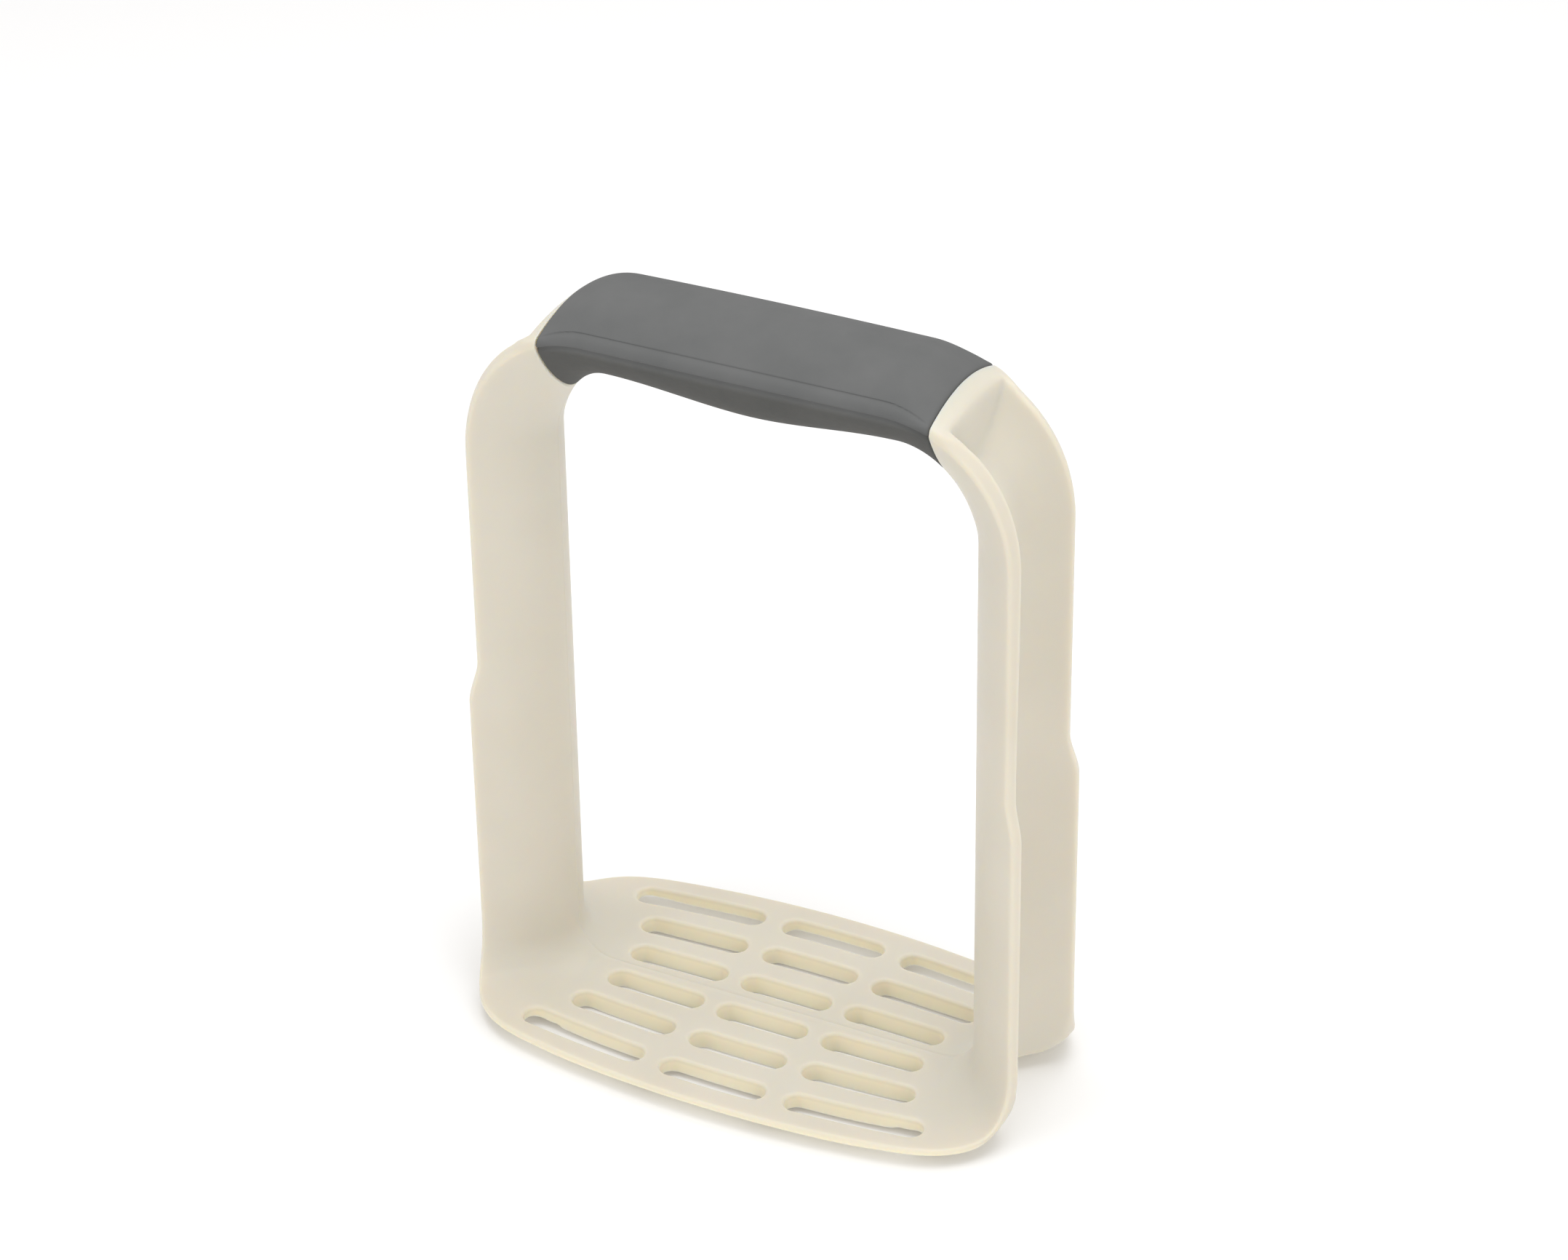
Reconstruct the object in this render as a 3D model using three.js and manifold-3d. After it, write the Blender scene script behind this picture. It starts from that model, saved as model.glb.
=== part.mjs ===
// Hand masher: a closed frame with a slotted mashing plate at the bottom, two channel-shaped
// uprights and a handle across the top that carries a soft grip.
//
// X runs along the handle, Y across it, Z up. The shape functions measure height from the top
// face of the plate; the whole group is then lifted so that the underside of the plate is Z = 0.
// The body is one closed loop of stations. Every station is a curved section: a front curve that
// faces the opening of the loop, and a back curve behind it. Both are symmetric in Y.
import * as THREE from 'three';
import { mergeVertices } from 'three/addons/utils/BufferGeometryUtils.js';
import Module from 'manifold-3d';

// ---- Driving dimensions, in millimetres ----

// Plate
const PLATE_THICKNESS = 5.0;
const PLATE_HALF_DEPTH = 38.8;
const PLATE_EDGE_BOW = 0.00196;
const PLATE_EDGE_UNDERCUT = 0.2;
const UNDERSIDE_FLAT = { halfLength: 16, halfWidth: 6 };
const UNDERSIDE_RISE_Y = 0.00297;
const UNDERSIDE_RISE_X = { height: 3.0, reach: 57 };
const FOOT_CURL = { fromX: 59.7, width: 6.9, height: 6.7, toY: 24, fade: 6.5 };
const THINNEST = 1.4;

// Where the plate turns up into the uprights
const BEND_CENTRE_X = 41.4;
const BEND_RADIUS = 9.0;
const CORNER_CENTRE = { x: 46.0, y: 13.5 };
const CORNER_RADIUS = 20.6;
const CORNER_START = THREE.MathUtils.degToRad(10.8);
const CORNER_END = THREE.MathUtils.degToRad(49.0);
const RIM_RISE = { fromY: 27.0, width: 9.8, height: 12.5 };
const RIM_THICKNESS = 1.9;

// Uprights
const NOSE_X = 50.45;
const NOSE_HEIGHT = 60;
const NOSE_TAPER = 0.0033;
const NOSE_BLUNTNESS = 6.4;
const FLANGE_SPLAY = 0.8;
const FLANGE_CURL = 6.9e-5;
const WALL = 2.8;
const LOWER_HALF_DEPTH = 17.2;
const UPPER_HALF_DEPTH = 16.2;
const STEP_BOTTOM = 72.5;
const STEP_TOP = 83.0;

// Handle
const HANDLE_CENTRE = { x: 34.0, z: 135.6 };
const HANDLE_ARCH = 2.7;
const HANDLE_RIM_LIFT = 1.4;
const CREASE_RADIUS = 32.8;
const CROWN_RADIUS = 39.6;
const CROWN_DROP = 5.9;
const CROWN_CAMBER = 0.5;
const EXTRA_WALL = { upright: 0.5, corner: 0.7 };
const CREASE_THICKNESS = 1.5;
const CREASE_INSET = 0.5;
const POCKET_START = THREE.MathUtils.degToRad(49);
const POCKET = { floor: 21.3, slope: 17.0, curve: 112.0, lip: 1.6, valley: 1.6 };

// Soft grip and the core that it is moulded around
const GRIP_HALF_LENGTH = 45.2;
const GRIP_BOTTOM = 140;
const CORE = { inner: 25.5, outer: 31.2, halfWidth: 8.5, halfLength: 46.8 };
const GAP = 0.3;

// Slots: one entry per row, counted from the middle of the plate outwards
const SLOT_WIDTH = 5.9;
const SLOT_BRIDGE_X = 47.1;
const SLOT_ROWS = [
  { y: 6.0, bow: 0.85, middleEnd: 11.2, bridge: 4.1, outerEnd: 39.7 },
  { y: 18.0, bow: 2.29, middleEnd: 11.9, bridge: 4.5, outerEnd: 43.0 },
  { y: 30.1, bow: 3.47, middleEnd: 12.9, bridge: 5.0, outerEnd: 49.9 },
];

// How finely the curves are divided
const STEPS = {
  plate: 4, corner: 4, rimRise: 7, upright: 3, notch: 5, handleBend: 10, handle: 4,
  section: 8, slotEnd: 6, slotSide: 4,
};

const wasm = await Module();
wasm.setup();

// ---- Small helpers ----

const smooth = (t) => THREE.MathUtils.smoothstep(t, 0, 1);
const { lerp, clamp, radToDeg } = THREE.MathUtils;

// The smaller of two values, rounded over where they meet.
function softMin(a, b, blend) {
  const share = clamp(0.5 + (0.5 * (b - a)) / blend, 0, 1);
  return lerp(b, a, share) - blend * share * (1 - share);
}

const softMax = (a, b, blend) => -softMin(-a, -b, blend);

function spread(from, to, steps) {
  return Array.from({ length: steps }, (_, i) => lerp(from, to, (i + 1) / steps));
}

// ---- Curves that the sections share ----

// How far the splayed wall has moved outwards at distance y from the middle of an upright.
function flange(y) {
  return FLANGE_SPLAY * (Math.hypot(y, NOSE_BLUNTNESS) - NOSE_BLUNTNESS) + FLANGE_CURL * y ** 4;
}

function flangeSlope(y) {
  return (FLANGE_SPLAY * y) / Math.hypot(y, NOSE_BLUNTNESS) + 4 * FLANGE_CURL * y ** 3;
}

function noseX(z) {
  return NOSE_X - NOSE_TAPER * (z - NOSE_HEIGHT);
}

// The back of a wall of the given thickness whose front is scale * flange(y).
function flangeBack(y, scale, thickness) {
  let foot = y;
  for (let i = 0; i < 30; i += 1) {
    const slope = scale * flangeSlope(foot);
    foot = y + (thickness * slope) / Math.hypot(1, slope);
  }
  return scale * flange(foot) + thickness / Math.hypot(1, scale * flangeSlope(foot));
}

// Free edge of a wall, square to its front face.
function wallEdge(y, radius, scale, thickness) {
  const slope = scale * flangeSlope(y);
  const length = Math.hypot(1, slope);
  return { y: y - (thickness * slope) / length, radius: radius + thickness / length };
}

// Height of the plate's domed underside.
function underside(x, y) {
  const { halfLength, halfWidth } = UNDERSIDE_FLAT;
  const offY = Math.max(0, Math.abs(y) - halfWidth);
  const offX = clamp((Math.abs(x) - halfLength) / (UNDERSIDE_RISE_X.reach - halfLength), 0, 1.05);
  const rise = UNDERSIDE_RISE_Y * offY ** 2 + UNDERSIDE_RISE_X.height * offX ** 4;
  return softMin(rise - PLATE_THICKNESS, -THINNEST, 0.5);
}

// Height of the underside where it curls up to the outer face of the upright.
function foot(x, y) {
  const offY = clamp(y - CORNER_CENTRE.y, 0, 0.99 * CORNER_RADIUS);
  const roundOff = CORNER_RADIUS - Math.sqrt(CORNER_RADIUS ** 2 - offY ** 2);
  const share = Math.max((x + roundOff - FOOT_CURL.fromX) / FOOT_CURL.width, 0);
  const curl = 1 - Math.sqrt(1 - Math.min(share, 1) ** 2) + 5 * Math.max(share - 1, 0);
  return underside(x, y) + FOOT_CURL.height * smooth((FOOT_CURL.toY - y) / FOOT_CURL.fade) * curl;
}

// Distance from the bend centre to the front surface, looking down at angle phi from straight
// down: the plate's top face, the round bend, or the nose of the upright.
function bendFront(y, phi) {
  const outX = BEND_RADIUS * Math.hypot(1, flangeSlope(y));
  const centreX = noseX(0) + flange(y) - outX;
  const floorDistance = BEND_RADIUS / Math.max(Math.cos(phi), 1e-9);
  if (BEND_CENTRE_X + floorDistance * Math.sin(phi) <= centreX) return floorDistance;
  const offset = (BEND_CENTRE_X - centreX) / outX;
  const dx = Math.sin(phi) / outX;
  const dz = Math.cos(phi) / BEND_RADIUS;
  const a = dx * dx + dz * dz;
  const b = 2 * offset * dx;
  const c = offset * offset - 1;
  return (-b + Math.sqrt(Math.max(b * b - 4 * a * c, 0))) / (2 * a);
}

// ---- Stations ----

// A half section (y >= 0). A point lies at distance radius(y) from the origin along the
// direction; the ends of both curves are given, and the curves are eased onto them.
function halfCurve(origin, direction, endY, endRadius, radius) {
  const miss = endRadius - radius(endY);
  return Array.from({ length: STEPS.section + 1 }, (_, i) => {
    const t = i / STEPS.section;
    const r = radius(endY * t) + miss * t ** 6;
    return new THREE.Vector3(origin.x + r * direction.x, endY * t, origin.z + r * direction.z);
  });
}

function plateStation(x) {
  const origin = { x, z: 0 };
  const down = { x: 0, z: -1 };
  const edge = PLATE_HALF_DEPTH - PLATE_EDGE_BOW * x * x;
  const backEdge = edge - PLATE_EDGE_UNDERCUT;
  return {
    front: halfCurve(origin, down, edge, 0, () => 0),
    back: halfCurve(origin, down, backEdge, -underside(x, backEdge), (y) => -underside(x, y)),
  };
}

// The plane of a station in the lower corner: it leans with the bend, then lies level.
function cornerPlane(x, z) {
  if (z >= BEND_RADIUS) {
    return { origin: { x: BEND_CENTRE_X, z }, direction: { x: 1, z: 0 }, radius: x - BEND_CENTRE_X,
      phi: Math.PI / 2 };
  }
  const phi = Math.atan2(x - BEND_CENTRE_X, BEND_RADIUS - z);
  return {
    origin: { x: BEND_CENTRE_X, z: BEND_RADIUS },
    direction: { x: Math.sin(phi), z: -Math.cos(phi) },
    radius: Math.hypot(x - BEND_CENTRE_X, BEND_RADIUS - z),
    phi,
  };
}

// Distance to the plate's underside, or to the back of the upright, whichever is nearer.
function cornerBack(plane, z, y) {
  const wallRadius = (noseX(Math.max(z, 0)) + flangeBack(y, 1, WALL) - BEND_CENTRE_X)
    / Math.max(Math.sin(plane.phi), 1e-6);
  if (plane.phi >= Math.PI / 2) return wallRadius;
  let inside = 0;
  let outside = 60;
  for (let i = 0; i < 30; i += 1) {
    const radius = (inside + outside) / 2;
    const x = BEND_CENTRE_X + radius * Math.sin(plane.phi);
    const height = BEND_RADIUS - radius * Math.cos(plane.phi);
    if (height > foot(x, y)) inside = radius;
    else outside = radius;
  }
  const front = bendFront(y, plane.phi);
  const thickest = front + 3 + 14 * clamp((FOOT_CURL.toY - y) / 4, 0, 1);
  const back = softMin(softMin(inside, wallRadius, 1.2), thickest, 1.0);
  const offY = clamp(y - CORNER_CENTRE.y, 0, CORNER_RADIUS);
  const outline = CORNER_CENTRE.x + Math.sqrt(CORNER_RADIUS ** 2 - offY ** 2) - BEND_CENTRE_X;
  return Math.max(softMin(back, outline / Math.sin(plane.phi), 0.8), front + THINNEST);
}

function cornerStation({ x, y, z }) {
  const front = cornerPlane(x, z);
  const frontRadius = (a) => (z < BEND_RADIUS
    ? bendFront(a, front.phi) : noseX(z) + flange(a) - BEND_CENTRE_X);
  // The edge face turns from hanging below the plate's rim to standing square to the wall.
  const turned = smooth((RIM_RISE.fromY - y) / RIM_RISE.width);
  const slope = flangeSlope(Math.min(y, 18));
  const wallFace = new THREE.Vector3(1, -slope, 0).setLength(WALL * turned);
  const outward = new THREE.Vector3(x - CORNER_CENTRE.x, y - CORNER_CENTRE.y, 0).setLength(0.1);
  const rimFace = new THREE.Vector3(0, 0, -1).sub(outward);
  const rim = new THREE.Vector3(x, y, z).add(wallFace);
  rim.addScaledVector(rimFace, RIM_THICKNESS * (1 - turned));
  const back = cornerPlane(rim.x, rim.z);
  return {
    front: halfCurve(front.origin, front.direction, y, front.radius, frontRadius),
    back: halfCurve(back.origin, back.direction, rim.y, back.radius,
      (a) => cornerBack(back, rim.z, a)),
  };
}

// Rim of the lower corner: along the plate's long edge, round the corner, up onto the flange.
function cornerRim() {
  const startX = CORNER_CENTRE.x + CORNER_RADIUS * Math.sin(CORNER_START);
  const points = [];
  for (const x of [lerp(BEND_CENTRE_X, startX, 1 / 3), lerp(BEND_CENTRE_X, startX, 2 / 3)]) {
    points.push({ x, y: PLATE_HALF_DEPTH - PLATE_EDGE_BOW * x * x, z: 0 });
  }
  for (let i = 0; i < STEPS.corner; i += 1) {
    const turn = lerp(CORNER_START, CORNER_END, i / STEPS.corner);
    const x = CORNER_CENTRE.x + CORNER_RADIUS * Math.sin(turn);
    points.push({ x, y: CORNER_CENTRE.y + CORNER_RADIUS * Math.cos(turn), z: 0 });
  }
  for (const rise of [0, ...spread(0, Math.PI / 2, STEPS.rimRise)]) {
    const y = RIM_RISE.fromY - RIM_RISE.width * Math.sin(rise);
    const x = CORNER_CENTRE.x + Math.sqrt(CORNER_RADIUS ** 2 - (y - CORNER_CENTRE.y) ** 2);
    points.push({ x, y, z: RIM_RISE.height * (1 - Math.cos(rise)) });
  }
  return points;
}

function uprightStation(z) {
  const origin = { x: HANDLE_CENTRE.x, z };
  const out = { x: 1, z: 0 };
  const turned = smooth((z - STEP_BOTTOM) / (STEP_TOP - STEP_BOTTOM));
  const halfDepth = lerp(LOWER_HALF_DEPTH, UPPER_HALF_DEPTH, turned);
  const rise = (z - STEP_TOP) / (HANDLE_CENTRE.z - STEP_TOP);
  const thickness = WALL + EXTRA_WALL.upright * smooth(rise);
  const nose = noseX(z) - HANDLE_CENTRE.x;
  const rim = nose + flange(halfDepth);
  const edge = wallEdge(halfDepth, rim, 1, thickness);
  return {
    front: halfCurve(origin, out, halfDepth, rim, (y) => nose + flange(y)),
    back: halfCurve(origin, out, edge.y, edge.radius, (y) => nose + flangeBack(y, 1, thickness)),
  };
}

// A section of the handle: its plane turns by phi about the end of the handle's straight
// stretch, or stands upright (phi = 90 degrees) at distance x along it.
function handleStation(phi, x) {
  const origin = { x, z: HANDLE_CENTRE.z };
  const direction = { x: Math.cos(phi), z: Math.sin(phi) };
  const degrees = radToDeg(phi);
  const along = x / HANDLE_CENTRE.x;
  const start = noseX(HANDLE_CENTRE.z) - HANDLE_CENTRE.x;
  const lift = HANDLE_ARCH * (smooth((degrees - 20) / 70) - 1 + smooth(along));
  const nose = start + lift;
  const rim = start + flange(UPPER_HALF_DEPTH) + HANDLE_RIM_LIFT * smooth(degrees / 70);
  const scale = (rim - nose) / flange(UPPER_HALF_DEPTH);
  const thickness = WALL + EXTRA_WALL.upright + EXTRA_WALL.corner * smooth(degrees / 40);
  const crown = CROWN_RADIUS - CROWN_DROP * smooth((90 - degrees) / 32)
    + CROWN_CAMBER * (1 - along * along);
  const wall = wallEdge(UPPER_HALF_DEPTH, rim, scale, thickness);
  const turned = smooth((degrees - 50) / 18);
  const edgeY = lerp(wall.y, UPPER_HALF_DEPTH - CREASE_INSET, turned);
  const edgeRadius = lerp(wall.radius, rim + CREASE_THICKNESS, turned);
  const past = Math.max(phi - POCKET_START, 0);
  const ramp = POCKET.floor + POCKET.slope * past + POCKET.curve * past ** 2;
  const backRadius = (y) => {
    const dome = CREASE_RADIUS + (crown - CREASE_RADIUS) * (1 - (y / UPPER_HALF_DEPTH) ** 2);
    const channel = nose + flangeBack(y, scale, thickness);
    return softMin(dome, softMax(channel, ramp, POCKET.valley), POCKET.lip);
  };
  return {
    front: halfCurve(origin, direction, UPPER_HALF_DEPTH, rim, (y) => nose + scale * flange(y)),
    back: halfCurve(origin, direction, edgeY, edgeRadius, backRadius),
  };
}

// The stations of the +X half, from the middle of the plate round to the middle of the handle.
function halfLoop() {
  const bendStart = [0, ...spread(0, UNDERSIDE_FLAT.halfLength, 1),
    ...spread(UNDERSIDE_FLAT.halfLength, BEND_CENTRE_X, STEPS.plate)];
  const cornerTop = RIM_RISE.height;
  const heights = [...spread(cornerTop, STEP_BOTTOM, STEPS.upright),
    ...spread(STEP_BOTTOM, STEP_TOP, STEPS.notch),
    ...spread(STEP_TOP, HANDLE_CENTRE.z, STEPS.upright)];
  return [
    ...bendStart.map(plateStation),
    ...cornerRim().map(cornerStation),
    ...heights.map(uprightStation),
    ...spread(0, Math.PI / 2, STEPS.handleBend).map((phi) => handleStation(phi, HANDLE_CENTRE.x)),
    ...spread(HANDLE_CENTRE.x, 0, STEPS.handle).map((x) => handleStation(Math.PI / 2, x)),
  ];
}

// ---- Solids ----

const mirrorY = (p) => new THREE.Vector3(p.x, -p.y, p.z);
const mirrorX = (p) => new THREE.Vector3(-p.x, p.y, p.z);

// The full outline of a station: along the front from -Y to +Y and back behind it.
function ring({ front, back }) {
  const frontLine = [...front.slice(1).reverse().map(mirrorY), ...front];
  const backLine = [...back.slice().reverse(), ...back.slice(1).map(mirrorY)];
  return [...frontLine, ...backLine];
}

function toSolid(geometry) {
  const bare = geometry.clone();
  bare.deleteAttribute('normal');
  bare.deleteAttribute('uv');
  const merged = mergeVertices(bare, 1e-3);
  return new wasm.Manifold(new wasm.Mesh({
    numProp: 3,
    vertProperties: merged.attributes.position.array,
    triVerts: Uint32Array.from(merged.index.array),
  }));
}

function toGeometry(solid) {
  const mesh = solid.getMesh();
  const geometry = new THREE.BufferGeometry();
  geometry.setAttribute('position', new THREE.BufferAttribute(mesh.vertProperties, 3));
  geometry.setIndex(new THREE.BufferAttribute(mesh.triVerts, 1));
  geometry.computeVertexNormals();
  return geometry;
}

function loopSolid() {
  const right = halfLoop().map(ring);
  const left = right.slice(1, -1).reverse().map((points) => points.map(mirrorX));
  const rings = [...right, ...left];
  const count = rings[0].length;
  const index = [];
  rings.forEach((_, i) => {
    const next = (i + 1) % rings.length;
    for (let j = 0; j < count; j += 1) {
      const k = (j + 1) % count;
      const corners = [i * count + j, next * count + j, next * count + k, i * count + k];
      index.push(corners[0], corners[1], corners[2], corners[0], corners[2], corners[3]);
    }
  });
  const geometry = new THREE.BufferGeometry().setFromPoints(rings.flat());
  geometry.setIndex(index);
  return toSolid(geometry);
}

// A slot from x = from to x = to, its centre line bowed towards the middle of the plate.
function slotSolid(row, side, from, to) {
  const radius = SLOT_WIDTH / 2;
  const centre = (x) => side * (row.y - row.bow * (x / SLOT_BRIDGE_X) ** 2);
  const slope = (x) => (-side * 2 * row.bow * x) / SLOT_BRIDGE_X ** 2;
  const rimPoint = (x, turn) => {
    const tilt = Math.atan(slope(x)) + turn;
    return new THREE.Vector2(x + radius * Math.cos(tilt), centre(x) + radius * Math.sin(tilt));
  };
  const ends = [from + radius, to - radius];
  const outline = [
    ...spread(-Math.PI / 2, Math.PI / 2, STEPS.slotEnd).map((turn) => rimPoint(ends[1], turn)),
    ...spread(ends[1], ends[0], STEPS.slotSide).map((x) => rimPoint(x, Math.PI / 2)),
    ...spread(Math.PI / 2, 1.5 * Math.PI, STEPS.slotEnd).map((turn) => rimPoint(ends[0], turn)),
    ...spread(ends[0], ends[1], STEPS.slotSide).map((x) => rimPoint(x, -Math.PI / 2)),
  ];
  const geometry = new THREE.ExtrudeGeometry(new THREE.Shape(outline), {
    depth: 3 * PLATE_THICKNESS,
    bevelEnabled: false,
  });
  geometry.translate(0, 0, -2 * PLATE_THICKNESS);
  return toSolid(geometry);
}

function allSlots() {
  const slots = [];
  for (const row of SLOT_ROWS) {
    const sideStart = row.middleEnd + row.bridge;
    const spans = [[-row.outerEnd, -sideStart], [-row.middleEnd, row.middleEnd],
      [sideStart, row.outerEnd]];
    for (const side of [-1, 1]) {
      slots.push(...spans.map(([from, to]) => slotSolid(row, side, from, to)));
    }
  }
  return slots.reduce((all, slot) => all.add(slot));
}

// The space that the soft grip takes up along the handle.
function gripSpace(extra) {
  const width = 4 * UPPER_HALF_DEPTH;
  const geometry = new THREE.BoxGeometry(2 * (GRIP_HALF_LENGTH + extra), width, 2 * width);
  geometry.translate(0, 0, GRIP_BOTTOM + width);
  return toSolid(geometry);
}

// The flat-sided bar inside the grip, following the bend of the handle.
function coreSolid(extra) {
  const inner = CORE.inner - extra;
  const outer = CORE.outer + extra;
  const { x, z } = HANDLE_CENTRE;
  const reach = CORE.halfLength - x;
  const outerStart = Math.acos(reach / outer);
  const innerStart = Math.acos(reach / inner);
  const outline = new THREE.Shape();
  outline.absarc(x, z, outer, outerStart, Math.PI / 2, false);
  outline.absarc(-x, z, outer, Math.PI / 2, Math.PI - outerStart, false);
  outline.absarc(-x, z, inner, Math.PI - innerStart, Math.PI / 2, true);
  outline.absarc(x, z, inner, Math.PI / 2, innerStart, true);
  const depth = 2 * (CORE.halfWidth + extra);
  const geometry = new THREE.ExtrudeGeometry(outline, {
    depth,
    curveSegments: 8,
    bevelEnabled: false,
  });
  geometry.translate(0, 0, -depth / 2);
  geometry.rotateX(Math.PI / 2);
  return toSolid(geometry);
}

function frameSolid(loop) {
  return loop.subtract(gripSpace(GAP)).add(coreSolid(0)).subtract(allSlots());
}

function gripSolid(loop) {
  return loop.intersect(gripSpace(0)).subtract(coreSolid(GAP));
}

// ---- The masher ----

const loop = loopSolid();
const masher = new THREE.Group();
masher.position.z = PLATE_THICKNESS;

const frame = new THREE.Mesh(
  toGeometry(frameSolid(loop)),
  new THREE.MeshStandardMaterial({ color: '#e3dccb', roughness: 0.5, metalness: 0 }),
);
frame.name = 'frame';

const softGrip = new THREE.Mesh(
  toGeometry(gripSolid(loop)),
  new THREE.MeshStandardMaterial({ color: '#6d7073', roughness: 0.8, metalness: 0 }),
);
softGrip.name = 'soft_grip';

masher.add(frame, softGrip);

export default masher;
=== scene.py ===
import math

import bmesh
import bpy
import numpy as np
from mathutils import Matrix, Vector


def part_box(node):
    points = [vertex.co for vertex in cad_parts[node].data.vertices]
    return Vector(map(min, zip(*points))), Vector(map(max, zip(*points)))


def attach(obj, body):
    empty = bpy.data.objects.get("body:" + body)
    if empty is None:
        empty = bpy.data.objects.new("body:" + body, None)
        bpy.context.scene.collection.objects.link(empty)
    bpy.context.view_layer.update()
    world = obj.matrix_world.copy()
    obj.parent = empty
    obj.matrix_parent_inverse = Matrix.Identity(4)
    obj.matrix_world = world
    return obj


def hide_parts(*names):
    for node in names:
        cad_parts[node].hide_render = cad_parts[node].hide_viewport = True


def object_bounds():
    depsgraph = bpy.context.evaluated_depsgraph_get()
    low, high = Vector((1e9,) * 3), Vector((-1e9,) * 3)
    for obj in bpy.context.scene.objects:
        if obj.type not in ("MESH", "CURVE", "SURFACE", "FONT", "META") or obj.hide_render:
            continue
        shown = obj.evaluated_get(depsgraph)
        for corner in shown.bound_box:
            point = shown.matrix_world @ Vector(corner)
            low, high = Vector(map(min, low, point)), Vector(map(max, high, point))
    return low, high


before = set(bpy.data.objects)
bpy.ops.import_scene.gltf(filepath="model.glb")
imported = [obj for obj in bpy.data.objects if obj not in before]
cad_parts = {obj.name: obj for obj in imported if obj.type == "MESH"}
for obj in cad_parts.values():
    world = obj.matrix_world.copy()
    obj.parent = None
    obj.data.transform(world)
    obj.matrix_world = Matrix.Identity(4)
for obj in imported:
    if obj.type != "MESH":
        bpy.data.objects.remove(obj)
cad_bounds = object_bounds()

MM = 0.001
cad_low, cad_high = cad_bounds
grip_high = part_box("soft_grip")[1]

# ---- Dimensions in millimetres ----

PLATE_THICKNESS = 5.0
PLATE_HALF_DEPTH = (cad_high.y - cad_low.y) / MM / 2
PLATE_EDGE_BOW = 0.00196
PLATE_EDGE_UNDERCUT = 0.2
FLAT_HALF_LENGTH, FLAT_HALF_WIDTH = 16.0, 6.0
UNDERSIDE_RISE_Y = 0.00297
UNDERSIDE_RISE_X, UNDERSIDE_REACH = 3.0, 57.0
FOOT_FROM_X, FOOT_WIDTH, FOOT_HEIGHT = 59.7, 6.9, 6.7
FOOT_TO_Y, FOOT_FADE = 24.0, 6.5
THINNEST = 1.4
# Behind the bend the plastic is at most this thick; it grows into the solid foot below FOOT_TO_Y.
THICKEST, FOOT_THICKNESS, FOOT_GROWTH = 3.0, 14.0, 4.0
UNDERSIDE_BLEND, WALL_BLEND, FOOT_BLEND, OUTLINE_BLEND = 0.5, 1.2, 1.0, 0.8
RAY_LENGTH = 60.0

BEND_CENTRE_X, BEND_RADIUS = 41.4, 9.0
CORNER_X, CORNER_Y, CORNER_RADIUS = 46.0, 13.5, 20.6
CORNER_START, CORNER_END = math.radians(10.8), math.radians(49.0)
RIM_FROM_Y, RIM_WIDTH, RIM_HEIGHT, RIM_THICKNESS = 27.0, 9.8, 12.5, 1.9
RIM_LEAN, RIM_SLOPE_TO_Y = 0.1, 18.0

NOSE_X, NOSE_HEIGHT, NOSE_TAPER, NOSE_BLUNTNESS = 50.45, 60.0, 0.0033, 6.4
FLANGE_SPLAY, FLANGE_CURL = 0.8, 6.9e-5
WALL = 2.8
LOWER_HALF_DEPTH, UPPER_HALF_DEPTH = 17.2, 16.2
STEP_BOTTOM, STEP_TOP = 72.5, 83.0

HANDLE_X, HANDLE_Z = 34.0, 135.6
HANDLE_ARCH, HANDLE_RIM_LIFT = 2.7, 1.4
# Degrees of the handle's bend over which its arch, rim, wall, crown and edge change.
ARCH_FROM, ARCH_SPAN, RIM_SPAN, WALL_SPAN, CROWN_SPAN = 20, 70, 70, 40, 32
EDGE_FROM, EDGE_SPAN = 50, 18
CREASE_RADIUS, CROWN_RADIUS, CROWN_DROP, CROWN_CAMBER = 32.8, 39.6, 5.9, 0.5
UPRIGHT_EXTRA_WALL, CORNER_EXTRA_WALL = 0.5, 0.7
CREASE_THICKNESS, CREASE_INSET = 1.5, 0.5
POCKET_START, POCKET_FLOOR = math.radians(49.0), 21.3
POCKET_SLOPE, POCKET_CURVE, POCKET_LIP, POCKET_VALLEY = 17.0, 112.0, 1.6, 1.6

GRIP_HALF_LENGTH = grip_high.x / MM
GRIP_GAP = 0.15
GROOVE_DEPTH, GROOVE_WIDTH = 0.55, 0.48
BAND_WIDTH, SEAM_STEP, SEAM_FADE, SEAM_WIDTH = 1.25, 0.2, 0.8, 0.1
PARTING_HEIGHT, PARTING_WIDTH = 0.07, 0.16
GRIP_BEND = 19.5
CORE_INNER, CORE_OUTER, CORE_HALF_WIDTH, CORE_HALF_LENGTH = 25.5, 31.2, 8.5, 46.8
CORE_CHAMFER, CORE_FIT = 1.5, 0.05
FRAME_LIP, GRIP_LIP = 0.3, 0.7

SLOT_WIDTH, SLOT_BRIDGE_X, SLOT_FLARE = 5.9, 47.1, 0.8
FLARE_END, FLARE_OVERSHOOT = math.radians(78), 0.1
# One line per row from the middle outwards: y, bow, end of middle slot, bridge, outer end.
SLOT_ROWS = ((6.0, 0.85, 11.2, 4.1, 39.7), (18.0, 2.29, 11.9, 4.5, 43.0),
             (30.1, 3.47, 12.9, 5.0, 49.9))

# Rounding of the two corners of the free edge, by part of the loop
PLATE_ROUNDING, WALL_ROUNDING, HANDLE_ROUNDING = 0.8, 1.0, 0.75

# How finely the curves are divided
CURVE_SAMPLES = 90
SOLVER_STEPS = 30
CORNER_EASING = 14
# Margin taken with the free edge, then the points on the front, the edge and the back.
FRAME_SECTION = (0.0, 30, 14, 28)
GRIP_SECTION = (2.4, 22, 56, 30)


# ---- Curves shared by the sections ----

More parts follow.
